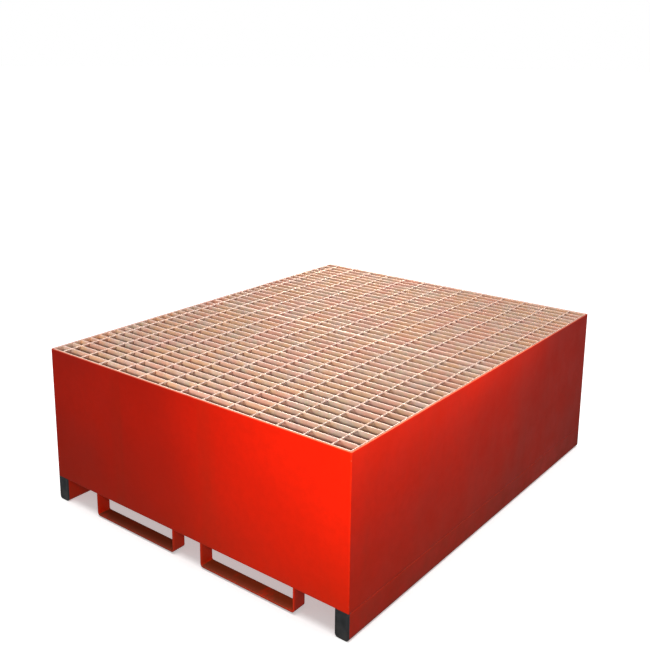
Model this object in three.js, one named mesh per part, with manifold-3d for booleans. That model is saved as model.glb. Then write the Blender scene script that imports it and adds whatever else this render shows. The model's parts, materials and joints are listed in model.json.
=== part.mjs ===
// Steel spill containment pallet: a welded, red powder-coated sump box on two skids,
// with fork stirrups under its ends and two galvanised gratings that lift out of its rim.
//
// Millimetres. +Z is up, X runs across the front, Y runs from the front (-Y) to the back (+Y).
// The origin is on the ground, under the middle of the box.

import * as THREE from 'three';
import { mergeVertices } from 'three/addons/utils/BufferGeometryUtils.js';
import Module from 'manifold-3d';

const wasm = await Module();
wasm.setup();

// Driving dimensions of the whole object.
const WIDTH = 1330;
const DEPTH = 1640;
const HEIGHT = 585;
const GROUND_CLEARANCE = 90;
const SHEET = 3;

// Skids: folded channels under the side walls, closed by plastic end caps.
const SKID_WIDTH = 50;
const SKID_BEND_RADIUS = 12;
const CAP_FLANGE = 4;
const CAP_PLUG_DEPTH = 28;
const CAP_PLUG_FIT = 0.5;

// Fork stirrups: flat bar bent to a U and welded under the floor, a little right of centre.
const STIRRUP_WIDTH = 394;
const STIRRUP_BAR_WIDTH = 50;
const STIRRUP_BAR_THICKNESS = 6;
const STIRRUP_BEND_RADIUS = 12;
const STIRRUP_GROUND_GAP = 6;
const STIRRUP_CENTRE = 259;
const STIRRUP_OFFSET = 9;

// Gratings: bearing bars along X, cross rods along Y, flush with the rim.
const GRATING_HEIGHT = 30;
const GRATING_BAR = 3;
const GRATING_BAYS = 20;
const GRATING_EDGE_GAP = 2.5;
const GRATING_SPLIT_GAP = 3;
const ROD_SIDE = 6;
const ROD_RECESS = 0.5;
const ROD_PITCH = 100;
const ROD_COUNT = 13;
const FIRST_ROD_FROM_RIGHT = 76;

// Ledges that the gratings rest on, all round the inside of the rim.
const LEDGE_LEG = 30;
const LEDGE_THICKNESS = 3;

// Support beams under the gratings, from front to back, each end on a seat bracket.
const BEAM_WIDTH = 60;
const BEAM_HEIGHT = 100;
const BEAM_BEND_RADIUS = 6;
const SEAT_LEG = 60;
const SEAT_THICKNESS = 5;
const SEAT_LENGTH = 90;

// Worked out from the driving dimensions.
const WALL_HEIGHT = HEIGHT - GROUND_CLEARANCE;
const WALL_MIDDLE = GROUND_CLEARANCE + WALL_HEIGHT / 2;
const INSIDE_WIDTH = WIDTH - 2 * SHEET;
const INSIDE_DEPTH = DEPTH - 2 * SHEET;
const LEDGE_TOP = HEIGHT - GRATING_HEIGHT;
const BEAM_CENTRE = INSIDE_WIDTH / 6;
const BEAM_LENGTH = INSIDE_DEPTH - 2 * LEDGE_LEG;

const ARC_STEPS = 2;

const FINISHES = {
  powderCoat: { color: 0xc4160c, roughness: 0.42, metalness: 0.0 },
  galvanised: { color: 0xb9b4ac, roughness: 0.48, metalness: 0.8 },
  capPlastic: { color: 0x2b2d2f, roughness: 0.6, metalness: 0.0 },
};

const part = new THREE.Group();

// Adds one named piece to the part, in its own material.
function addPiece(name, geometry, finish, x, y, z) {
  const piece = new THREE.Mesh(geometry, new THREE.MeshStandardMaterial(FINISHES[finish]));
  piece.name = name;
  piece.position.set(x, y, z);
  part.add(piece);
}

// Extrudes an outline drawn in X and Z by a length along Y, centred on Y = 0.
function extrudeAlongY(outline, length) {
  const geometry = new THREE.ExtrudeGeometry(outline, {
    depth: length,
    bevelEnabled: false,
    curveSegments: ARC_STEPS,
  });
  geometry.rotateX(Math.PI / 2);
  geometry.translate(0, length / 2, 0);
  return geometry;
}

// A channel section, open at the top, standing on Z = 0 and centred on X = 0.
function channelOutline(width, height, thickness, outerRadius) {
  const half = width / 2;
  const innerRadius = outerRadius - thickness;
  const bendX = half - outerRadius;
  const outline = new THREE.Shape();
  outline.moveTo(-half, height);
  outline.absarc(-bendX, outerRadius, outerRadius, Math.PI, 1.5 * Math.PI, false);
  outline.absarc(bendX, outerRadius, outerRadius, 1.5 * Math.PI, 2 * Math.PI, false);
  outline.lineTo(half, height);
  outline.lineTo(half - thickness, height);
  outline.absarc(bendX, outerRadius, innerRadius, 2 * Math.PI, 1.5 * Math.PI, true);
  outline.absarc(-bendX, outerRadius, innerRadius, 1.5 * Math.PI, Math.PI, true);
  outline.lineTo(-half + thickness, height);
  return outline;
}

// A filled section with rounded lower corners, standing on Z = bottom.
function plugOutline(width, bottom, top, radius) {
  const half = width / 2;
  const outline = new THREE.Shape();
  outline.moveTo(-half, top);
  outline.absarc(-half + radius, bottom + radius, radius, Math.PI, 1.5 * Math.PI, false);
  outline.absarc(half - radius, bottom + radius, radius, 1.5 * Math.PI, 2 * Math.PI, false);
  outline.lineTo(half, top);
  return outline;
}

// An equal-leg angle: one leg lies flat with its top on Z = 0 and reaches out along +X
// from the wall at X = 0, the other leg hangs down that wall.
function angleOutline(leg, thickness) {
  const outline = new THREE.Shape();
  outline.moveTo(0, 0);
  outline.lineTo(0, -leg);
  outline.lineTo(thickness, -leg);
  outline.lineTo(thickness, -thickness);
  outline.lineTo(leg, -thickness);
  outline.lineTo(leg, 0);
  return outline;
}

// Turns a three.js geometry into a manifold solid.
function toSolid(geometry) {
  const bare = geometry.clone();
  bare.deleteAttribute('normal');
  bare.deleteAttribute('uv');
  const merged = mergeVertices(bare);
  const mesh = new wasm.Mesh({
    numProp: 3,
    vertProperties: new Float32Array(merged.attributes.position.array),
    triVerts: new Uint32Array(merged.index.array),
  });
  return new wasm.Manifold(mesh);
}

// Turns a manifold solid back into a three.js geometry.
function toGeometry(solid) {
  const mesh = solid.getMesh();
  const geometry = new THREE.BufferGeometry();
  geometry.setAttribute('position', new THREE.BufferAttribute(mesh.vertProperties, 3));
  geometry.setIndex(new THREE.BufferAttribute(mesh.triVerts, 1));
  geometry.computeVertexNormals();
  return geometry;
}

function addSump() {
  const frontY = (DEPTH - SHEET) / 2;
  const sideX = (WIDTH - SHEET) / 2;
  const floor = new THREE.BoxGeometry(INSIDE_WIDTH, INSIDE_DEPTH, SHEET);
  addPiece('sump_floor', floor, 'powderCoat', 0, 0, GROUND_CLEARANCE + SHEET / 2);
  for (const [name, side] of [['front_wall', -1], ['back_wall', 1]]) {
    const wall = new THREE.BoxGeometry(WIDTH, SHEET, WALL_HEIGHT);
    addPiece(name, wall, 'powderCoat', 0, side * frontY, WALL_MIDDLE);
  }
  for (const [name, side] of [['left_wall', -1], ['right_wall', 1]]) {
    const wall = new THREE.BoxGeometry(SHEET, INSIDE_DEPTH, WALL_HEIGHT);
    addPiece(name, wall, 'powderCoat', side * sideX, 0, WALL_MIDDLE);
  }
}

// An end cap: a flange over the whole end of the skid, and a plug inside its channel.
// The flange faces -Y when facing is -1 and +Y when it is 1.
function capGeometry(facing) {
  const plugInset = SHEET + CAP_PLUG_FIT;
  const overlap = CAP_FLANGE / 2;
  const flangeOutline = plugOutline(SKID_WIDTH, 0, GROUND_CLEARANCE, SKID_BEND_RADIUS);
  const flange = extrudeAlongY(flangeOutline, CAP_FLANGE);
  const insertOutline = plugOutline(
    SKID_WIDTH - 2 * plugInset,
    plugInset,
    GROUND_CLEARANCE - CAP_PLUG_FIT,
    SKID_BEND_RADIUS - plugInset,
  );
  const insert = extrudeAlongY(insertOutline, CAP_PLUG_DEPTH + overlap);
  insert.translate(0, -facing * (CAP_FLANGE + CAP_PLUG_DEPTH - overlap) / 2, 0);
  return toGeometry(toSolid(flange).add(toSolid(insert)));
}

function addSkids() {
  const skidX = (WIDTH - SKID_WIDTH) / 2;
  const capY = (DEPTH - CAP_FLANGE) / 2;
  for (const [side, sideSign] of [['left', -1], ['right', 1]]) {
    const outline = channelOutline(SKID_WIDTH, GROUND_CLEARANCE, SHEET, SKID_BEND_RADIUS);
    const channel = extrudeAlongY(outline, DEPTH - 2 * CAP_FLANGE);
    addPiece(`${side}_skid`, channel, 'powderCoat', sideSign * skidX, 0, 0);
    for (const [end, endSign] of [['front', -1], ['back', 1]]) {
      const cap = capGeometry(endSign);
      addPiece(`${end}_${side}_skid_cap`, cap, 'capPlastic', sideSign * skidX, endSign * capY, 0);
    }
  }
}

function addStirrups() {
  const endY = (DEPTH - STIRRUP_BAR_WIDTH) / 2;
  const height = GROUND_CLEARANCE - STIRRUP_GROUND_GAP;
  for (const [end, endSign] of [['front', -1], ['back', 1]]) {
    for (const [side, sideSign] of [['left', -1], ['right', 1]]) {
      const outline = channelOutline(
        STIRRUP_WIDTH,
        height,
        STIRRUP_BAR_THICKNESS,
        STIRRUP_BEND_RADIUS,
      );
      const stirrup = extrudeAlongY(outline, STIRRUP_BAR_WIDTH);
      const x = sideSign * STIRRUP_CENTRE + STIRRUP_OFFSET;
      addPiece(`${end}_${side}_fork_stirrup`, stirrup, 'powderCoat', x, endSign * endY, STIRRUP_GROUND_GAP);
    }
  }
}

// Side ledges run the whole inside depth; the front and back ledges fit between them.
function addLedges() {
  const sideLength = INSIDE_DEPTH;
  const endLength = INSIDE_WIDTH - 2 * LEDGE_LEG;
  for (const [side, sideSign] of [['left', -1], ['right', 1]]) {
    const ledge = extrudeAlongY(angleOutline(LEDGE_LEG, LEDGE_THICKNESS), sideLength);
    if (sideSign > 0) {
      ledge.rotateZ(Math.PI);
    }
    const x = sideSign * INSIDE_WIDTH / 2;
    addPiece(`${side}_grating_ledge`, ledge, 'powderCoat', x, 0, LEDGE_TOP);
  }
  for (const [end, endSign] of [['front', -1], ['back', 1]]) {
    const ledge = extrudeAlongY(angleOutline(LEDGE_LEG, LEDGE_THICKNESS), endLength);
    ledge.rotateZ(-endSign * Math.PI / 2);
    const y = endSign * INSIDE_DEPTH / 2;
    addPiece(`${end}_grating_ledge`, ledge, 'powderCoat', 0, y, LEDGE_TOP);
  }
}

function addBeams() {
  for (const [side, sideSign] of [['left', -1], ['right', 1]]) {
    const outline = channelOutline(BEAM_WIDTH, BEAM_HEIGHT, SHEET, BEAM_BEND_RADIUS);
    const beam = extrudeAlongY(outline, BEAM_LENGTH);
    beam.rotateY(Math.PI);
    const x = sideSign * BEAM_CENTRE;
    addPiece(`${side}_support_beam`, beam, 'powderCoat', x, 0, LEDGE_TOP);
    for (const [end, endSign] of [['front', -1], ['back', 1]]) {
      const seat = extrudeAlongY(angleOutline(SEAT_LEG, SEAT_THICKNESS), SEAT_LENGTH);
      seat.rotateZ(-endSign * Math.PI / 2);
      const y = endSign * INSIDE_DEPTH / 2;
      addPiece(`${end}_${side}_beam_seat`, seat, 'powderCoat', x, y, LEDGE_TOP - BEAM_HEIGHT);
    }
  }
}

// A rectangle centred on X = 0, Y = y.
function rectangleOutline(path, width, depth, y) {
  path.moveTo(-width / 2, y - depth / 2);
  path.lineTo(width / 2, y - depth / 2);
  path.lineTo(width / 2, y + depth / 2);
  path.lineTo(-width / 2, y + depth / 2);
  return path;
}

// One grating panel with its top on Z = 0: bearing bars along X inside a banded edge, with
// the cross rods let in just below the bar tops.
function gratingGeometry(width, depth) {
  const barStep = (depth - GRATING_BAR) / GRATING_BAYS;
  const firstBarY = -(depth - GRATING_BAR) / 2;
  const slotWidth = width - 2 * GRATING_BAR;
  const slotDepth = barStep - GRATING_BAR;
  const bars = rectangleOutline(new THREE.Shape(), width, depth, 0);
  for (let bay = 0; bay < GRATING_BAYS; bay += 1) {
    const y = firstBarY + (bay + 0.5) * barStep;
    bars.holes.push(rectangleOutline(new THREE.Path(), slotWidth, slotDepth, y));
  }
  const frame = new THREE.ExtrudeGeometry(bars, { depth: GRATING_HEIGHT, bevelEnabled: false });
  frame.translate(0, 0, -GRATING_HEIGHT);
  let solid = toSolid(frame);
  for (let index = 0; index < ROD_COUNT; index += 1) {
    const rod = new THREE.BoxGeometry(ROD_SIDE, depth - GRATING_BAR, ROD_SIDE);
    const x = WIDTH / 2 - FIRST_ROD_FROM_RIGHT - index * ROD_PITCH;
    rod.translate(x, 0, -ROD_RECESS - ROD_SIDE / 2);
    solid = solid.add(toSolid(rod));
  }
  return toGeometry(solid);
}

function addGratings() {
  const panelWidth = INSIDE_WIDTH - 2 * GRATING_EDGE_GAP;
  const panelDepth = (INSIDE_DEPTH - 2 * GRATING_EDGE_GAP - GRATING_SPLIT_GAP) / 2;
  const panelY = (panelDepth + GRATING_SPLIT_GAP) / 2;
  const grating = gratingGeometry(panelWidth, panelDepth);
  for (const [end, endSign] of [['front', -1], ['back', 1]]) {
    addPiece(`${end}_grating`, grating.clone(), 'galvanised', 0, endSign * panelY, HEIGHT);
  }
}

addSump();
addSkids();
addStirrups();
addLedges();
addBeams();
addGratings();

export default part;
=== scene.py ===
"""Looks of the steel spill containment pallet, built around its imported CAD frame.

Metres, in the frame's own axes: X across the front, Y from front to back, Z up.
Every CAD node gets a detailed piece of the same size in the same place. Weld beads are
pieces of their own.
"""

import json
import math
import random

import bmesh
import bpy
from mathutils import Matrix, Vector, noise


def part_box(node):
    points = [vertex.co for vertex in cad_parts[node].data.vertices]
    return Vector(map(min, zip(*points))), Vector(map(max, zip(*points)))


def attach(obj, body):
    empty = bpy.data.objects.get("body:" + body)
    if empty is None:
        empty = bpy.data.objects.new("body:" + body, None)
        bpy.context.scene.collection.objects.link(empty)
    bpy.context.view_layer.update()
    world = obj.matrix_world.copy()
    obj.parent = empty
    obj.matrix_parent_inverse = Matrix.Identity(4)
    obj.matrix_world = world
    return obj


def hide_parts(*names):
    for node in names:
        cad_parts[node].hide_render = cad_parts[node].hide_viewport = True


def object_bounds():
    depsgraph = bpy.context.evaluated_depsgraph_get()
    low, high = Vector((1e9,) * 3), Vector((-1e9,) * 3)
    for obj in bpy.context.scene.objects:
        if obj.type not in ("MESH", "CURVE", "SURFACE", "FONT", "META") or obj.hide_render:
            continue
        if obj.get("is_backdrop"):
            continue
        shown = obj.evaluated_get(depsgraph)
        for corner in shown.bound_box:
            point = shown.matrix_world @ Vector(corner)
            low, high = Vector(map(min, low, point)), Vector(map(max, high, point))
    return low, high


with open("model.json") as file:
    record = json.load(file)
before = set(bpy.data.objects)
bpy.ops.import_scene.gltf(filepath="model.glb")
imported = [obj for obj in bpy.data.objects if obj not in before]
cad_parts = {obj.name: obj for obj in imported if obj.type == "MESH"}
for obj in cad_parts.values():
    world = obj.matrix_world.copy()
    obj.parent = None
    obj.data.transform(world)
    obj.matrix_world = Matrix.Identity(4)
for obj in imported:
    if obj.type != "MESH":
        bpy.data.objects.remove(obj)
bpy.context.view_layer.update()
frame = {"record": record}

MM = 0.001

# Slots of the record's materials.
PAINT = "powder_coated_steel"
ZINC = "galvanised_steel"
PLASTIC = "cap_plastic"

# Sheet and bar edges.
SHEET = 3 * MM
SHEAR_RADIUS = 0.6 * MM
CORNER_RADIUS = 1.6 * MM
WEAR_BAND = 7 * MM
PAINT_TINT = (1.0, 1.55, 0.8)
SHEET_GRID = 45 * MM
SHEET_WAVE = 0.5 * MM

# Gratings.
BAR_THICKNESS = 3 * MM
BAR_EDGE_RADIUS = 0.5 * MM
BAYS = 20
ROD_COUNT = 13
ROD_PITCH = 100 * MM
FIRST_ROD_FROM_RIGHT = 76 * MM
ROD_SIDE = 5 * MM
ROD_DEPTH = 3.7 * MM
ROD_TWIST_LENGTH = 96 * MM
ROD_STEP = 4 * MM

# Folded and bent pieces.
SKID_BEND = 12 * MM
BEAM_BEND = 6 * MM
STIRRUP_BEND = 12 * MM
STIRRUP_THICKNESS = 6 * MM
BAR_STOCK_RADIUS = 1.0 * MM
LEDGE_THICKNESS = 3 * MM
SEAT_THICKNESS = 5 * MM
CAP_FLANGE = 4 * MM

# Weld beads.
RIPPLE_PITCH = 4.5 * MM
FINE_WELD_STEP = 1.5 * MM
COARSE_WELD_STEP = 3 * MM

# Stage and light.
FLOOR_RADIUS = 60
FLOOR_GLOW = 0.42
AMBIENT = 0.33
BACKDROP = 1.0

# Camera.
CAMERA_PLACE = (1.9591, -2.6208, 1.6535)
CAMERA_YAW = math.radians(37.865)
CAMERA_PITCH = math.radians(12.995)
CAMERA_ROLL = math.radians(0.479)
CAMERA_LENS_MM = 49.48
CAMERA_SHIFT = (0.0043, -0.1151)




def add_collection(name, parent):
    made = bpy.data.collections.new(name)
    parent.children.link(made)
    return made


# The lamps are aimed at one or the other of these.
pallet = add_collection("pallet", bpy.context.scene.collection)
tank = add_collection("tank", pallet)
gratings = add_collection("gratings", pallet)


# ---------------------------------------------------------------- mesh building


class Piece:
    """Collects the solids of one piece, with a wear value on each vertex."""

    def __init__(self, name):
        self.name = name
        self.points = []
        self.faces = []
        self.wear = []

    def loft(self, rings, wear):
        """Joins rings of points, each as long as the list of wear values, and closes both ends."""
        start = len(self.points)
        count = len(wear)
        for ring in rings:
            self.points.extend(ring)
            self.wear.extend(wear)
        for index in range(len(rings) - 1):
            near = start + index * count
            far = near + count
            for j in range(count):
                k = (j + 1) % count
                self.faces.append((near + j, near + k, far + k, far + j))
        last = start + (len(rings) - 1) * count
        self.faces.append(tuple(reversed(range(start, start + count))))
        self.faces.append(tuple(range(last, last + count)))

    def rounded_box(self, low, high, radius, sharp=(), step=SHEET_GRID, wave_axis=None):
        """A box with rounded edges, but for those round the sides named in sharp, such as "-x".

        wave_axis is the axis across a sheet: its faces then stand a little uneven, always
        inwards from the outer side of the object.
        """
        low, high = Vector(low), Vector(high)
        inner_low = Vector(low[a] + (0 if f"-{'xyz'[a]}" in sharp else radius) for a in range(3))
        inner_high = Vector(high[a] - (0 if f"+{'xyz'[a]}" in sharp else radius) for a in range(3))
        lines = [grid_lines(low[a], high[a], inner_low[a], inner_high[a], step) for a in range(3)]
        found = {}

        def vertex(i, j, k):
            if (i, j, k) not in found:
                point = Vector((lines[0][i], lines[1][j], lines[2][k]))
                nearest = Vector(min(max(point[a], inner_low[a]), inner_high[a]) for a in range(3))
                away = point - nearest
                if away.length > radius:
                    point = nearest + away * (radius / away.length)
                worn = edge_wear(point, low, high, sharp, radius)
                if wave_axis is not None and not worn:
                    point[wave_axis] -= sheet_wave(point, wave_axis)
                found[i, j, k] = len(self.points)
                self.points.append(point)
                self.wear.append(worn)
            return found[i, j, k]

        ends = [len(line) - 1 for line in lines]
        for axis in range(3):
            b, c = (axis + 1) % 3, (axis + 2) % 3
            for side in (0, ends[axis]):
                for m in range(ends[b]):
                    for n in range(ends[c]):
                        corners = []
                        for dm, dn in ((0, 0), (1, 0), (1, 1), (0, 1)):
                            index = [0, 0, 0]
                            index[axis], index[b], index[c] = side, m + dm, n + dn
                            corners.append(vertex(*index))
                        self.faces.append(tuple(corners if side else reversed(corners)))

    def blob(self, centre, radii, segments=8, rings=4):
        """A lump of melted metal: a low ball squashed to three radii."""
        start = len(self.points)
        for i in range(1, rings):
            latitude = math.pi * i / rings
            for j in range(segments):
                turn = math.tau * j / segments
                self.points.append(
                    Vector(
                        (
                            centre[0] + radii[0] * math.sin(latitude) * math.cos(turn),
                            centre[1] + radii[1] * math.sin(latitude) * math.sin(turn),
                            centre[2] + radii[2] * math.cos(latitude),
                        )
                    )
                )
        top = len(self.points)
        self.points.append(Vector((centre[0], centre[1], centre[2] + radii[2])))
        self.points.append(Vector((centre[0], centre[1], centre[2] - radii[2])))
        self.wear.extend([0.0] * (len(self.points) - start))
        for i in range(rings - 2):
            for j in range(segments):
                k = (j + 1) % segments
                upper = start + i * segments
                lower = upper + segments
                self.faces.append((upper + j, lower + j, lower + k, upper + k))
        last = start + (rings - 2) * segments
        for j in range(segments):
            k = (j + 1) % segments
            self.faces.append((top, start + j, start + k))
            self.faces.append((top + 1, last + k, last + j))

    def weld(self, start, end, leg_a, leg_b, step=COARSE_WELD_STEP):
        """A fillet weld from start to end. leg_a and leg_b are its two legs from the root."""
        start, end, leg_a, leg_b = Vector(start), Vector(end), Vector(leg_a), Vector(leg_b)
        along = end - start
        count = max(4, round(along.length / step))
        forward = along.normalized()
        bulge = (leg_a + leg_b) * 0.62
        rings = []
        for index in range(count + 1):
            share = index / count
            distance = share * along.length
            ripple = math.sin(math.tau * distance / RIPPLE_PITCH)
            drift = noise.noise((start + along * share) * 30)
            size = 1 + 0.05 * ripple + 0.10 * drift
            lag = forward * (RIPPLE_PITCH * 0.25)
            if index in (0, count):
                size *= 0.55
                lag = Vector()
            root = start + along * share
            crown = 1 + 0.07 * ripple
            rings.append(
                [
                    root - (leg_a + leg_b) * 0.05,
                    root + leg_a * size,
                    root + (leg_a * 0.82 + leg_b * 0.36) * size * crown + lag * 0.6,
                    root + bulge * size * crown + lag,
                    root + (leg_a * 0.36 + leg_b * 0.82) * size * crown + lag * 0.6,
                    root + leg_b * size,
                ]
            )
        # The crown gets the highest wear value, so a paint that pales worn places fully gives the bead a painted
        # highlight along its crown.
        self.loft(rings, [0.0, 0.3, 0.6, 0.9, 0.6, 0.3])

    def build(self, finish, body="root", slot=PAINT, replaces=(), smooth_angle=35):
        """Makes the Blender object, links it to the collection its lamps light, parents it to its body's empty and
        hides the CAD parts that it replaces.
        """
        mesh = bpy.data.meshes.new(self.name)
        mesh.from_pydata([tuple(p) for p in self.points], [], self.faces)
        wear = mesh.attributes.new("wear", "FLOAT", "POINT")
        wear.data.foreach_set("value", self.wear)
        mesh.materials.append(finish)
        mesh.validate()
        outward = bmesh.new()
        outward.from_mesh(mesh)
        bmesh.ops.recalc_face_normals(outward, faces=outward.faces)
        outward.to_mesh(mesh)
        outward.free()
        made = bpy.data.objects.new(self.name, mesh)
        lit_with = gratings if slot == ZINC else tank if slot == PAINT else pallet
        lit_with.objects.link(made)
        mesh.shade_smooth()
        mesh.set_sharp_from_angle(angle=math.radians(smooth_angle))
        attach(made, body)
        if replaces:
            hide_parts(*replaces)
        return made


def grid_lines(low, high, inner_low, inner_high, step):
    """Grid lines from low to high: two in each rounded edge, one where wear ends, the rest even."""
    lines = [low]
    if inner_low > low:
        lines += [(low + inner_low) / 2, inner_low]
    start, end = lines[-1], inner_high
    if end - start > 4 * WEAR_BAND:
        start, end = start + WEAR_BAND, end - WEAR_BAND
        lines.append(start)
        count = max(1, round((end - start) / step))
        lines += [start + (end - start) * n / count for n in range(1, count + 1)]
    lines.append(inner_high)
    if inner_high < high:
        lines += [(high + inner_high) / 2, high]
    return lines


def edge_wear(point, low, high, sharp, radius):
    """1 on a rounded edge, 0 a wear band away from it."""
    near = 0
    reach = radius * 1.01
    for axis in range(3):
        low_side = point[axis] - low[axis] <= reach and f"-{'xyz'[axis]}" not in sharp
        high_side = high[axis] - point[axis] <= reach and f"+{'xyz'[axis]}" not in sharp
        near += low_side or high_side
    return 1.0 if near >= 2 else 0.0


def sheet_wave(point, axis):
    """How far a sheet is out of flat at a point: the same on both of its faces."""
    flat = Vector(point)
    flat[axis] = 0.37
    depth = SHEET_WAVE * (0.5 + 0.5 * noise.noise(flat * 2.6))
    return math.copysign(depth, point[axis])


def outline(corners, steps=5):
    """Rounds the corners (x, z, radius) of a closed outline. Returns its points and wear values.

    Tight corners are edges, which wear; wide ones are bends, which wear a little.
    """
    points, wear = [], []
    count = len(corners)
    for index in range(count):
        x, z, radius = corners[index]
        corner = Vector((x, z))
        before = Vector(corners[index - 1][:2]) - corner
        after = Vector(corners[(index + 1) % count][:2]) - corner
        half = before.angle(after) / 2
        centre = corner + (before.normalized() + after.normalized()).normalized() * (
            radius / math.sin(half)
        )
        reach = radius / math.tan(half)
        first = corner + before.normalized() * reach - centre
        last = corner + after.normalized() * reach - centre
        for step in range(steps + 1):
            share = step / steps
            direction = first * math.cos(share * math.pi / 2) + last * math.sin(share * math.pi / 2)
            points.append(centre + direction.normalized() * radius)
            wear.append(1.0 if radius < 2 * MM else 0.25)
        following = corners[(index + 1) % count]
        here = corner + after.normalized() * reach
        run = after.length - reach - following[2]
        if run > 3 * WEAR_BAND:
            points.append(here + after.normalized() * WEAR_BAND)
            points.append(here + after.normalized() * (run - WEAR_BAND))
            wear += [0.0, 0.0]
    return points, wear


def channel_outline(width, height, thickness, bend):
    """A folded channel, open at the top, standing on Z = 0 and centred on X = 0."""
    half = width / 2
    inside = half - thickness
    return outline(
        [
            (-half, 0, bend),
            (half, 0, bend),
            (half, height, SHEAR_RADIUS),
            (inside, height, SHEAR_RADIUS),
            (inside, thickness, bend - thickness),
            (-inside, thickness, bend - thickness),
            (-inside, height, SHEAR_RADIUS),
            (-half, height, SHEAR_RADIUS),
        ]
    )


def angle_outline(leg, thickness):
    """An angle: one leg flat, its top on Z = 0, reaching +X; the other down the wall at X = 0."""
    return outline(
        [
            (0, 0, SHEAR_RADIUS),
            (0, -leg, SHEAR_RADIUS),
            (thickness, -leg, SHEAR_RADIUS),
            (thickness, -thickness, thickness),
            (leg, -thickness, SHEAR_RADIUS),
            (leg, 0, SHEAR_RADIUS),
        ]
    )


def straight_rings(section, start, end, place, step=0.08):
    """Rings of a section at even stations. place(x, z, s) gives the point at station s."""
    count = max(1, round((end - start) / step))
    stations = [start + (end - start) * n / count for n in range(count + 1)]
    return [[place(p.x, p.y, s) for p in section] for s in stations]


def middle(node):
    low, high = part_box(node)
    return (low + high) / 2


# ---------------------------------------------------------------- materials


class Nodes:
    """A short way to write a material's node tree."""

    def __init__(self, name):
        self.material = bpy.data.materials.new(name)
        self.material.use_nodes = True
        self.tree = self.material.node_tree
        self.shader = self.tree.nodes["Principled BSDF"]
        self.place = self.add("ShaderNodeTexCoord").outputs["Object"]

    def add(self, kind, **settings):
        node = self.tree.nodes.new(kind)
        for key, value in settings.items():
            setattr(node, key, value)
        return node

    def feed(self, socket, value):
        if isinstance(value, bpy.types.NodeSocket):
            self.tree.links.new(value, socket)
        else:
            socket.default_value = value

    def noise(self, scale, detail=3.0, roughness=0.55, stretch=None):
        node = self.add("ShaderNodeTexNoise")
        node.inputs["Scale"].default_value = scale
        node.inputs["Detail"].default_value = detail
        node.inputs["Roughness"].default_value = roughness
        vector = self.place
        if stretch:
            mapping = self.add("ShaderNodeMapping")
            mapping.inputs["Scale"].default_value = stretch
            self.feed(mapping.inputs["Vector"], self.place)
            vector = mapping.outputs["Vector"]
        self.feed(node.inputs["Vector"], vector)
        return node.outputs["Fac"]

    def cells(self, scale):
        node = self.add("ShaderNodeTexVoronoi")
        node.inputs["Scale"].default_value = scale
        self.feed(node.inputs["Vector"], self.place)
        return node.outputs["Color"]

    def ramp(self, value, low, high, to_low=0.0, to_high=1.0):
        node = self.add("ShaderNodeMapRange", interpolation_type="SMOOTHSTEP")
        self.feed(node.inputs["Value"], value)
        for key, number in zip(
            ("From Min", "From Max", "To Min", "To Max"), (low, high, to_low, to_high)
        ):
            node.inputs[key].default_value = number
        return node.outputs["Result"]

    def math(self, operation, a, b=0.0):
        node = self.add("ShaderNodeMath", operation=operation)
        self.feed(node.inputs[0], a)
        self.feed(node.inputs[1], b)
        return node.outputs["Value"]

    def mix(self, share, a, b, blend="MIX"):
        node = self.add("ShaderNodeMix", data_type="RGBA", blend_type=blend)
        self.feed(node.inputs[0], share)
        for socket, value in ((node.inputs[6], a), (node.inputs[7], b)):
            self.feed(socket, (*value, 1.0) if isinstance(value, tuple) else value)
        return node.outputs[2]

    def height(self, axis="Z"):
        split = self.add("ShaderNodeSeparateXYZ")
        self.feed(split.inputs["Vector"], self.place)
        return split.outputs[axis]

    def facing_up(self):
        geometry = self.add("ShaderNodeNewGeometry")
        split = self.add("ShaderNodeSeparateXYZ")
        self.feed(split.inputs["Vector"], geometry.outputs["Normal"])
        return split.outputs["Z"]

    def wear(self):
        return self.add("ShaderNodeAttribute", attribute_name="wear").outputs["Fac"]

    def bumps(self, *layers):
        """Stacks bump layers, each (height, distance in metres, strength)."""
        normal = None
        for height, distance, strength in layers:
            bump = self.add("ShaderNodeBump")
            bump.inputs["Distance"].default_value = distance
            bump.inputs["Strength"].default_value = strength
            self.feed(bump.inputs["Height"], height)
            if normal is not None:
                self.feed(bump.inputs["Normal"], normal)
            normal = bump.outputs["Normal"]
        self.feed(self.shader.inputs["Normal"], normal)

    def set(self, **values):
        for key, value in values.items():
            self.feed(self.shader.inputs[key.replace("_", " ").title()], value)
        return self.material


def record_colour(slot):
    entry = next(m for m in frame["record"]["materials"] if m["slot"] == slot)
    return tuple(entry["base_color"][:3])


def shade(colour, factor):
    return tuple(c * factor for c in colour)


def tint(colour, factors):
    return tuple(c * f for c, f in zip(colour, factors))


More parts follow.
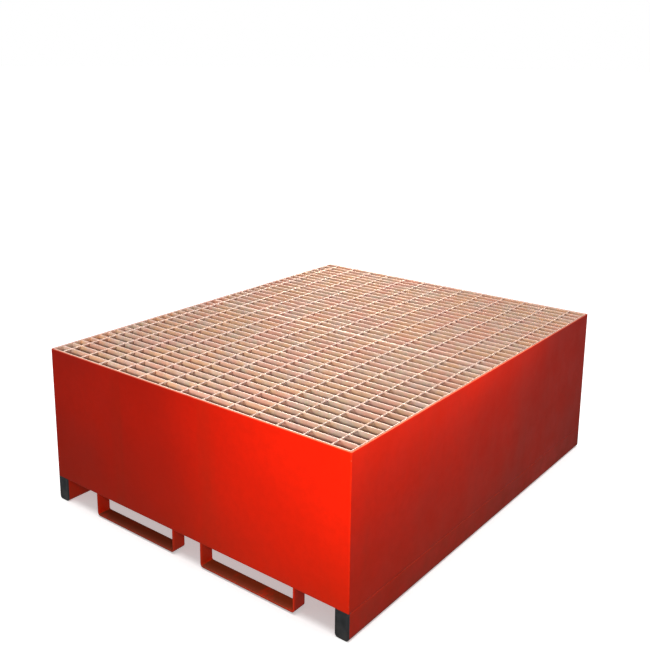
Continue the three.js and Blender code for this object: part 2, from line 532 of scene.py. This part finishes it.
def powder_coat(name, dust, scraped=0.0, rubbed=0.10):
    """Red powder coat: slow colour drift, runs, orange peel, worn edges, splash dirt with painted
    shade that darkens it towards the ground, a painted highlight along the top rim, and dust on
    what faces up. dust and scraped say how much of what faces up is under dust, or scraped by
    fork arms, and rubbed how pale its edges are, from 0 to 1; on weld beads that paleness is a
    painted highlight along their crowns."""
    red = tint(record_colour(PAINT), PAINT_TINT)
    n = Nodes(name)
    drift = n.ramp(n.noise(1.6, 2.0), 0.32, 0.68)
    colour = n.mix(drift, shade(red, 0.88), shade(red, 1.12))
    mottle = n.ramp(n.noise(38, 4.0, 0.7), 0.35, 0.7, 0.0, 0.22)
    colour = n.mix(mottle, colour, shade(red, 0.72))
    runs = n.ramp(n.noise(9, 3.0, 0.6, (1.0, 1.0, 0.07)), 0.52, 0.74, 0.0, 0.20)
    colour = n.mix(runs, colour, (0.28, 0.024, 0.008))
    # Splash dirt and painted shade: from 0.5 m down the paint darkens in uneven patches towards the ground.
    splash_dirt_and_painted_shade = n.ramp(n.height(), 0.50, 0.04, 0.0, 0.20)
    splash_dirt_and_painted_shade = n.math("MULTIPLY", splash_dirt_and_painted_shade, n.ramp(n.noise(4, 4.0, 0.6), 0.25, 0.65, 0.55, 1.0))
    colour = n.mix(splash_dirt_and_painted_shade, colour, (0.18, 0.032, 0.012))
    edge = n.wear()
    # Pale edges: rubbed paint on sheet edges; on weld beads, where this paint pales them fully, a painted highlight
    # along their crowns.
    rub_and_weld_highlight = n.math("MULTIPLY", n.ramp(edge, 0.35, 1.0), n.ramp(n.noise(55, 4.0, 0.7), 0.30, 0.62))
    colour = n.mix(n.math("MULTIPLY", rub_and_weld_highlight, rubbed), colour, (0.74, 0.085, 0.05))
    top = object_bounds()[1].z
    # Painted highlight: the top 2.5 mm of the walls goes pale pink in patches, standing in for the lit top edge of
    # the rim.
    painted_rim_highlight = n.ramp(n.noise(30, 4.0, 0.7), 0.2, 0.6, 0.30, 0.65)
    rim = n.math("MULTIPLY", n.ramp(n.height(), top - 2.5 * MM, top), painted_rim_highlight)
    colour = n.mix(rim, colour, (0.78, 0.26, 0.17))
    chips = n.math("MULTIPLY", n.ramp(edge, 0.7, 1.0), n.ramp(n.noise(120, 3.0, 0.6), 0.68, 0.71))
    colour = n.mix(chips, colour, (0.16, 0.13, 0.12))
    scuffs = n.ramp(n.noise(26, 5.0, 0.75, (0.25, 0.25, 2.6)), 0.66, 0.72, 0.0, 0.30)
    colour = n.mix(scuffs, colour, (0.48, 0.035, 0.020))
    up = n.ramp(n.facing_up(), 0.5, 1.0)
    low = n.ramp(n.height(), 0.16, 0.0, 0.0, 0.35)
    grime = n.math("MAXIMUM", low, n.math("MULTIPLY", up, dust))
    grime = n.math("MULTIPLY", grime, n.ramp(n.noise(17, 5.0, 0.65), 0.3, 0.7))
    colour = n.mix(grime, colour, (0.17, 0.050, 0.032))
    foot = n.ramp(n.height(), 0.016, 0.006, 0.0, 0.7)
    bare = n.math("MULTIPLY", n.math("MAXIMUM", up, foot), scraped)
    bare = n.math("MULTIPLY", bare, n.ramp(n.noise(22, 5.0, 0.7, (1.0, 0.35, 1.0)), 0.20, 0.50))
    colour = n.mix(bare, colour, (0.105, 0.038, 0.025))
    gloss = n.ramp(n.noise(6, 4.0, 0.6), 0.3, 0.7, 0.38, 0.50)
    gloss = n.math("ADD", gloss, n.math("MULTIPLY", grime, 0.35))
    gloss = n.math("ADD", gloss, n.math("MULTIPLY", scuffs, 0.3))
    n.bumps(
        (n.noise(3.0, 1.5), 4 * MM, 0.25),
        (n.noise(420, 1.5), 0.12 * MM, 0.35),
        (n.math("MAXIMUM", chips, bare), -0.15 * MM, 0.6),
    )
    n.shader.inputs["Specular IOR Level"].default_value = 0.12
    n.shader.inputs["Specular Tint"].default_value = (1.0, 0.62, 0.25, 1.0)
    return n.set(base_color=colour, roughness=gloss)


def galvanised(name):
    """Weathered hot-dip zinc: spangle, tan and pinkish films of dust that change every few
    bars, dull patches, specks of rust, brighter rubbed tops, and painted shade low in the bars."""
    zinc = record_colour(ZINC)
    n = Nodes(name)
    colour = n.mix(n.ramp(n.noise(7, 5.0, 0.65), 0.34, 0.66), shade(zinc, 0.90), shade(zinc, 1.15))
    colour = n.mix(0.10, colour, n.cells(95), "OVERLAY")
    warm = n.ramp(n.noise(11, 3.0, 0.6), 0.34, 0.62, 0.25, 0.85)
    colour = n.mix(warm, colour, (0.70, 0.44, 0.25))
    pink = n.ramp(n.noise(8.3, 3.0, 0.6, (1.0, 1.0, 0.2)), 0.44, 0.62, 0.0, 0.65)
    colour = n.mix(pink, colour, (0.68, 0.37, 0.30))
    dull = n.ramp(n.noise(33, 5.0, 0.7), 0.50, 0.70, 0.0, 0.5)
    colour = n.mix(dull, colour, (0.36, 0.30, 0.25))
    rust = n.ramp(n.noise(60, 5.0, 0.75), 0.66, 0.76, 0.0, 0.5)
    colour = n.mix(rust, colour, (0.20, 0.085, 0.04))
    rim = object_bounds()[1].z
    # Painted shade: the bars darken from 9 mm to 20 mm below their tops, low in the bays between them.
    painted_shade_deep_in_bars = n.ramp(n.height(), rim - 9 * MM, rim - 20 * MM, 0.0, 0.75)
    colour = n.mix(painted_shade_deep_in_bars, colour, (0.11, 0.070, 0.050))
    edge = n.ramp(n.wear(), 0.3, 1.0)
    colour = n.mix(n.math("MULTIPLY", edge, 0.65), colour, (0.72, 0.54, 0.48))
    gloss = n.ramp(n.noise(40, 4.0), 0.3, 0.7, 0.38, 0.56)
    gloss = n.math("ADD", gloss, n.math("MULTIPLY", dull, 0.25))
    n.bumps(
        (n.noise(160, 3.0, 0.6), 0.25 * MM, 0.5),
        (n.noise(35, 2.0), 0.6 * MM, 0.35),
    )
    n.shader.inputs["Metallic"].default_value = 0.35
    return n.set(base_color=colour, roughness=gloss)


def cap_plastic(name):
    """Black moulded plastic: fine grain, greyed and scuffed at its edges, dusty near the ground."""
    black = record_colour(PLASTIC)
    n = Nodes(name)
    tone = n.ramp(n.noise(45, 4.0, 0.6), 0.3, 0.7)
    colour = n.mix(tone, shade(black, 1.1), shade(black, 2.0))
    edge = n.math("MULTIPLY", n.ramp(n.wear(), 0.2, 1.0), n.ramp(n.noise(140, 4.0, 0.7), 0.35, 0.6))
    colour = n.mix(n.math("MULTIPLY", edge, 0.35), colour, (0.12, 0.12, 0.125))
    low = n.ramp(n.height(), 0.07, 0.0, 0.0, 0.5)
    grime = n.math("MULTIPLY", low, n.ramp(n.noise(75, 5.0, 0.7), 0.35, 0.65))
    colour = n.mix(grime, colour, (0.10, 0.080, 0.068))
    gloss = n.ramp(n.noise(90, 3.0), 0.3, 0.7, 0.48, 0.66)
    n.shader.inputs["Specular IOR Level"].default_value = 0.3
    n.bumps(
        (n.noise(1300, 2.0, 0.6), 0.08 * MM, 0.5),
        (n.noise(60, 2.0), 0.2 * MM, 0.3),
    )
    return n.set(base_color=colour, roughness=gloss)


def studio_floor(name):
    """Pale and plain, with a faint glow that keeps the shadow under the object light."""
    n = Nodes(name)
    tone = n.ramp(n.noise(1.1, 4.0), 0.3, 0.7)
    colour = n.mix(tone, (0.885, 0.885, 0.88), (0.90, 0.90, 0.895))
    n.shader.inputs["Emission Color"].default_value = (1.0, 1.0, 1.0, 1.0)
    n.shader.inputs["Emission Strength"].default_value = FLOOR_GLOW
    return n.set(base_color=colour, roughness=0.85)


outer_paint = powder_coat("powder_coat_outside", 0.25)
inner_paint = powder_coat("powder_coat_inside", 0.65)
fork_paint = powder_coat("powder_coat_stirrups", 0.25, 0.85)
# This paint pales the crowns of the side-seam beads fully: a painted highlight along them.
weld_paint_with_painted_highlight = powder_coat("powder_coat_welds_painted_highlight", 0.25, rubbed=1.0)
zinc_finish = galvanised("galvanised")
plastic_finish = cap_plastic("cap_plastic")


# ---------------------------------------------------------------- sump


def make_walls():
    """The end walls have rounded outer corners; the side walls are welded flush between them."""
    for node, inner in (("front_wall", "+y"), ("back_wall", "-y")):
        wall = Piece(f"{node}_sheet")
        wall.rounded_box(*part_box(node), CORNER_RADIUS, sharp=(inner,), wave_axis=1)
        wall.build(outer_paint, replaces=(node,))
    for node, inner in (("left_wall", "+x"), ("right_wall", "-x")):
        wall = Piece(f"{node}_sheet")
        wall.rounded_box(*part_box(node), CORNER_RADIUS, sharp=(inner, "-y", "+y"), wave_axis=0)
        wall.build(outer_paint, replaces=(node,))


def make_floor():
    low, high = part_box("sump_floor")
    floor = Piece("sump_floor_sheet")
    floor.rounded_box(low, high, SHEAR_RADIUS, sharp=("-x", "+x", "-y", "+y"), wave_axis=None)
    floor.build(inner_paint, replaces=("sump_floor",))


def make_sump_welds():
    """Fillets round the floor and up the corners inside."""
    low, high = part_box("sump_floor")
    top = high.z
    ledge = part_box("left_grating_ledge")[0].z
    leg = 4.5 * MM
    up = (0, 0, leg)
    seams = Piece("sump_weld_beads")
    for y, inward in ((low.y, 1), (high.y, -1)):
        seams.weld((low.x, y, top), (high.x, y, top), (0, inward * leg, 0), up)
    for x, inward in ((low.x, 1), (high.x, -1)):
        seams.weld((x, low.y, top), (x, high.y, top), (inward * leg, 0, 0), up)
        for y, inward_y in ((low.y, 1), (high.y, -1)):
            seams.weld((x, y, top), (x, y, ledge), (inward * leg, 0, 0), (0, inward_y * leg, 0))
    seams.build(inner_paint)


# ---------------------------------------------------------------- skids and caps


def make_skids():
    for side in ("left", "right"):
        node = f"{side}_skid"
        low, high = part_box(node)
        centre = (low.x + high.x) / 2
        section, wear = channel_outline(high.x - low.x, high.z, SHEET, SKID_BEND)
        skid = Piece(f"{side}_skid_channel")
        rings = straight_rings(
            section, low.y, high.y, lambda x, z, s: Vector((centre + x, s, z))
        )
        skid.loft(rings, wear)
        skid.build(outer_paint, replaces=(node,))


def cap_ring(width, height, inset, centre_x, y):
    """One ring of a cap's face, inset from its outline."""
    bend = SKID_BEND - inset
    top = 1.5 * MM
    half = width / 2 - inset
    corners = [
        (-half, inset, bend),
        (half, inset, bend),
        (half, height - inset, top),
        (-half, height - inset, top),
    ]
    points, wear = outline(corners, 6)
    return [Vector((centre_x + p.x, y, p.y)) for p in points], wear


def make_caps():
    """A flange with a softly rounded rim and a shallow moulded panel, and a hidden plug."""
    steps = ((0.0, 0.0), (0.0, 2.6), (0.35, 3.4), (1.1, 3.85), (2.2, 4.0), (6.0, 4.0), (6.8, 3.5))
    for end, facing in (("front", -1), ("back", 1)):
        for side in ("left", "right"):
            node = f"{end}_{side}_skid_cap"
            low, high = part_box(node)
            centre = (low.x + high.x) / 2
            outer = low.y if facing < 0 else high.y
            inner = high.y if facing < 0 else low.y
            rings = [
                cap_ring(high.x - low.x, high.z, 3.6 * MM, centre, inner),
                cap_ring(high.x - low.x, high.z, 3.6 * MM, centre, outer - facing * CAP_FLANGE),
            ]
            for inset, rise in steps:
                y = outer - facing * (CAP_FLANGE - rise * MM)
                rings.append(cap_ring(high.x - low.x, high.z, inset * MM, centre, y))
            cap = Piece(f"{node}_moulding")
            cap.loft([ring for ring, _ in rings], rings[0][1])
            cap.build(plastic_finish, slot=PLASTIC, replaces=(node,))


def make_skid_welds():
    """A run along each side seam, in the groove between wall and skid, and stitches inside."""
    stitch, gap = 60 * MM, 240 * MM
    seams = Piece("skid_weld_beads")
    for side, outward in (("left", -1), ("right", 1)):
        low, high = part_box(f"{side}_skid")
        face = low.x if outward < 0 else high.x
        inner = high.x if outward < 0 else low.x
        depth = 2.4 * MM
        root = Vector((face - outward * depth, 0, high.z))
        seams.weld(
            (root.x, low.y, root.z),
            (root.x, high.y, root.z),
            (outward * depth * 0.62, 0, 1.8 * MM),
            (outward * depth * 0.62, 0, -1.8 * MM),
            FINE_WELD_STEP,
        )
        y = low.y + gap / 2
        while y + stitch < high.y:
            start, end = (inner, y, high.z), (inner, y + stitch, high.z)
            seams.weld(start, end, (-outward * 4 * MM, 0, 0), (0, 0, -4 * MM))
            y += gap
    seams.build(weld_paint_with_painted_highlight)


# ---------------------------------------------------------------- stirrups


def stirrup_path(half, top, bottom, bend):
    """Centre line of a stirrup in X and Z, as (point, direction along it)."""
    path = [(Vector((-half, top)), Vector((0, -1)))]
    for centre, start in ((-half + bend, math.pi), (half - bend, 1.5 * math.pi)):
        for step in range(9):
            turn = start + step / 8 * math.pi / 2
            outward = Vector((math.cos(turn), math.sin(turn)))
            point = Vector((centre, bottom + bend)) + outward * bend
            path.append((point, Vector((-outward.y, outward.x))))
    path.append((Vector((half, top)), Vector((0, 1))))
    return path


def make_stirrups():
    """Flat bar bent to a U, with its rolled edges, and fillets where its legs meet the floor."""
    seams = Piece("stirrup_weld_beads")
    leg = 5 * MM
    for end in ("front", "back"):
        for side in ("left", "right"):
            node = f"{end}_{side}_fork_stirrup"
            low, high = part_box(node)
            centre = middle(node)
            width = high.y - low.y
            half_thickness = STIRRUP_THICKNESS / 2
            section, wear = outline(
                [
                    (-width / 2, -half_thickness, BAR_STOCK_RADIUS),
                    (width / 2, -half_thickness, BAR_STOCK_RADIUS),
                    (width / 2, half_thickness, BAR_STOCK_RADIUS),
                    (-width / 2, half_thickness, BAR_STOCK_RADIUS),
                ],
                3,
            )
            path = stirrup_path(
                (high.x - low.x) / 2 - half_thickness,
                high.z,
                low.z + half_thickness,
                STIRRUP_BEND - half_thickness,
            )
            rings = []
            for point, direction in path:
                across = Vector((direction.y, -direction.x))
                rings.append(
                    [
                        Vector((centre.x + point.x + across.x * p.y, centre.y + p.x, point.y + across.y * p.y))
                        for p in section
                    ]
                )
            stirrup = Piece(f"{node}_bar")
            stirrup.loft(rings, wear)
            stirrup.build(fork_paint, replaces=(node,))
            for face, outward in ((low.x, -1), (high.x, 1)):
                inner = face - outward * STIRRUP_THICKNESS
                for x, away in ((face, outward), (inner, -outward)):
                    seams.weld((x, low.y + 2 * MM, high.z), (x, high.y, high.z), (away * leg, 0, 0), (0, 0, -leg), FINE_WELD_STEP)
                hidden = high.y if end == "front" else low.y
                into = 1 if end == "front" else -1
                seams.weld((min(face, inner), hidden, high.z), (max(face, inner), hidden, high.z), (0, into * leg, 0), (0, 0, -leg), FINE_WELD_STEP)
    seams.build(outer_paint)


# ---------------------------------------------------------------- ledges, beams and seats


def make_angle(node, name, thickness, wall, outward):
    """An angle against a wall. wall is "x" or "y"; outward is the sign of that wall's side."""
    low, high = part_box(node)
    axis = "xy".index(wall)
    leg = high.z - low.z
    section, wear = angle_outline(leg, thickness)
    wall_place = high[axis] if outward > 0 else low[axis]
    start, end = low[1 - axis], high[1 - axis]

    def place(x, z, station):
        point = Vector((0, 0, high.z + z))
        point[axis] = wall_place - outward * x
        point[1 - axis] = station
        return point

    angle = Piece(name)
    angle.loft(straight_rings(section, start, end, place), wear)
    angle.build(inner_paint, replaces=(node,))


def make_ledges():
    for side, wall, outward in (("left", "x", -1), ("right", "x", 1), ("front", "y", -1), ("back", "y", 1)):
        make_angle(f"{side}_grating_ledge", f"{side}_ledge_angle", LEDGE_THICKNESS, wall, outward)


def make_beams():
    """Inverted channels on angle seats, with fillets where the seats meet the walls and the beams meet the seats."""
    seams = Piece("beam_weld_beads")
    leg = 4 * MM
    for side in ("left", "right"):
        node = f"{side}_support_beam"
        low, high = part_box(node)
        centre = (low.x + high.x) / 2
        top = high.z
        section, wear = channel_outline(high.x - low.x, high.z - low.z, SHEET, BEAM_BEND)
        beam = Piece(f"{side}_beam_channel")
        rings = straight_rings(
            section, low.y, high.y, lambda x, z, s: Vector((centre + x, s, top - z))
        )
        beam.loft(rings, wear)
        beam.build(inner_paint, replaces=(node,))
        for end, outward in (("front", -1), ("back", 1)):
            seat = f"{end}_{side}_beam_seat"
            make_angle(seat, f"{seat}_angle", SEAT_THICKNESS, "y", outward)
            seat_low, seat_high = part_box(seat)
            wall = seat_low.y if outward < 0 else seat_high.y
            for x, away in ((seat_low.x, -1), (seat_high.x, 1)):
                seams.weld((x, wall, seat_low.z), (x, wall, seat_high.z), (away * leg, 0, 0), (0, -outward * leg, 0))
            beam_end = low.y if outward < 0 else high.y
            rim = seat_high.y if outward < 0 else seat_low.y
            for x, away in ((low.x, -1), (high.x, 1)):
                y_pair = sorted((beam_end, rim))
                seams.weld((x, y_pair[0], seat_high.z), (x, y_pair[1], seat_high.z), (away * leg, 0, 0), (0, 0, leg))
    seams.build(inner_paint)


# ---------------------------------------------------------------- gratings


def twisted_rod(piece, x, z, start, end, phase):
    """A square bar twisted along Y."""
    half = ROD_SIDE / 2
    section, _ = outline([(-half, -half, 0.8 * MM), (half, -half, 0.8 * MM), (half, half, 0.8 * MM), (-half, half, 0.8 * MM)], 1)
    count = round((end - start) / ROD_STEP)
    rings = []
    for index in range(count + 1):
        y = start + (end - start) * index / count
        turn = phase + math.tau * (y - start) / ROD_TWIST_LENGTH
        c, s = math.cos(turn), math.sin(turn)
        rings.append([Vector((x + p.x * c - p.y * s, y, z + p.x * s + p.y * c)) for p in section])
    piece.loft(rings, [0.9] * len(section))


def make_grating(end, dice):
    """Bearing bars along X between edge bands, with a twisted rod forged into their tops
    every 100 mm, and the lumps of metal that the forging squeezes out at each crossing."""
    node = f"{end}_grating"
    low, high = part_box(node)
    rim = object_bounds()[1].x
    grating = Piece(f"{end}_grating_panel")
    pitch = (high.y - low.y - BAR_THICKNESS) / BAYS
    bar_places = [low.y + BAR_THICKNESS / 2 + n * pitch for n in range(BAYS + 1)]
    rod_places = [rim - FIRST_ROD_FROM_RIGHT - n * ROD_PITCH for n in range(ROD_COUNT)]
    half = BAR_THICKNESS / 2
    for y in bar_places:
        grating.rounded_box((low.x + half, y - half, low.z), (high.x - half, y + half, high.z), BAR_EDGE_RADIUS, sharp=("-x", "+x"), step=0.1)
    for x in (low.x, high.x - BAR_THICKNESS):
        grating.rounded_box((x, low.y, low.z), (x + BAR_THICKNESS, high.y, high.z), BAR_EDGE_RADIUS, step=0.1)
    centre_z = high.z - ROD_DEPTH
    for x in rod_places:
        wobble = dice.uniform(-0.3, 0.3) * MM
        twisted_rod(grating, x + wobble, centre_z, low.y + half, high.y - half, dice.uniform(0, math.tau))
        for y in bar_places:
            size = dice.uniform(0.85, 1.15)
            radii = (4.4 * MM * size, 2.9 * MM, 3.3 * MM)
            grating.blob((x + wobble, y, centre_z), radii)
    grating.build(zinc_finish, body=node, slot=ZINC, replaces=(node,))


# ---------------------------------------------------------------- stage, light and camera


def make_stage():
    """A plain pale floor, wide enough to reach the horizon. It takes shadows, and throws no
    light back on the object, whose sides would go pale."""
    count = 64
    rim = [
        (FLOOR_RADIUS * math.cos(math.tau * n / count), FLOOR_RADIUS * math.sin(math.tau * n / count), 0)
        for n in range(count)
    ]
    mesh = bpy.data.meshes.new("studio_floor")
    mesh.from_pydata(rim, [], [tuple(range(count))])
    mesh.materials.append(studio_floor("studio_floor"))
    floor = bpy.data.objects.new("studio_floor", mesh)
    floor.visible_diffuse = False
    floor.visible_glossy = False
    bpy.context.scene.collection.objects.link(floor)
    floor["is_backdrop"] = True


def add_lamp(name, kind, place, target, power, lit=None, colour=(1, 1, 1)):
    """A lamp that shines on the collection lit, or on everything."""
    lamp = bpy.data.lights.new(name, kind)
    lamp.energy = power
    lamp.color = colour
    made = bpy.data.objects.new(name, lamp)
    made.location = place
    made.rotation_euler = (Vector(target) - Vector(place)).to_track_quat("-Z", "Y").to_euler()
    made.light_linking.receiver_collection = lit
    made.visible_camera = False
    bpy.context.scene.collection.objects.link(made)
    return lamp


def make_world():
    """A white backdrop, which lights the object only a little."""
    world = bpy.data.worlds.new("studio")
    world.use_nodes = True
    tree = world.node_tree
    path = tree.nodes.new("ShaderNodeLightPath")
    strength = tree.nodes.new("ShaderNodeMapRange")
    strength.inputs["To Min"].default_value = AMBIENT
    strength.inputs["To Max"].default_value = BACKDROP
    tree.links.new(path.outputs["Is Camera Ray"], strength.inputs["Value"])
    tree.links.new(strength.outputs["Result"], tree.nodes["Background"].inputs["Strength"])
    tree.nodes["Background"].inputs["Color"].default_value = (1, 1, 1, 1)
    bpy.context.scene.world = world


def make_lights():
    """Soft boxes at the near corner for the tank, a low frontal light for the gratings, so that
    it reaches only the upper part of each bar, and an overhead light for all."""
    add_lamp("key", "AREA", (0.78, -1.58, 0.80), (0.45, -0.82, 0.33), 15, tank, (1, 0.50, 0.15)).size = 0.45
    side = add_lamp("side", "AREA", (0.86, -0.34, 0.80), (0.66, -0.34, 0.62), 4.7, tank, (1, 0.80, 0.55))
    side.shape, side.size, side.size_y = "RECTANGLE", 1.5, 0.2
    add_lamp("rim", "AREA", (-1.3, 1.3, 1.8), (-0.3, 0.0, 0.58), 20, pallet).size = 1.0
    add_lamp("behind", "AREA", (-1.7, 2.6, 1.1), (-0.3, 0.3, 0.3), 60, pallet, (1, 0.84, 0.66)).size = 1.2
    add_lamp("fill", "AREA", (-0.1, -1.8, 1.15), (0.2, -0.8, 0.57), 17, gratings, (1, 0.93, 0.86)).size = 0.6
    frontal = add_lamp("frontal", "SUN", (0.5, -3.0, 1.3), (0, 0, 0), 1.25, gratings, (1, 0.93, 0.88))
    frontal.angle = math.radians(9)
    overhead = add_lamp("overhead", "SUN", (0, 0, 4), (0, 0, 0), 2.6)
    overhead.angle = math.radians(40)
    make_world()
    bpy.context.scene.view_settings.view_transform = "Standard"


def make_camera():
    camera = bpy.data.cameras.new("camera")
    camera.lens = CAMERA_LENS_MM
    camera.shift_x, camera.shift_y = CAMERA_SHIFT
    camera.clip_end = 2 * FLOOR_RADIUS
    made = bpy.data.objects.new("camera", camera)
    tilt = Matrix.Rotation(math.pi / 2 - CAMERA_PITCH, 4, "X")
    turn = Matrix.Rotation(CAMERA_YAW, 4, "Z")
    roll = Matrix.Rotation(CAMERA_ROLL, 4, "Z")
    made.matrix_world = Matrix.Translation(CAMERA_PLACE) @ turn @ tilt @ roll
    bpy.context.scene.collection.objects.link(made)
    bpy.context.scene.camera = made


make_camera()
make_lights()
make_stage()
make_walls()
make_floor()
make_sump_welds()
make_skids()
make_caps()
make_skid_welds()
make_stirrups()
make_ledges()
make_beams()
grating_dice = random.Random(7)
for panel in ("front", "back"):
    make_grating(panel, grating_dice)
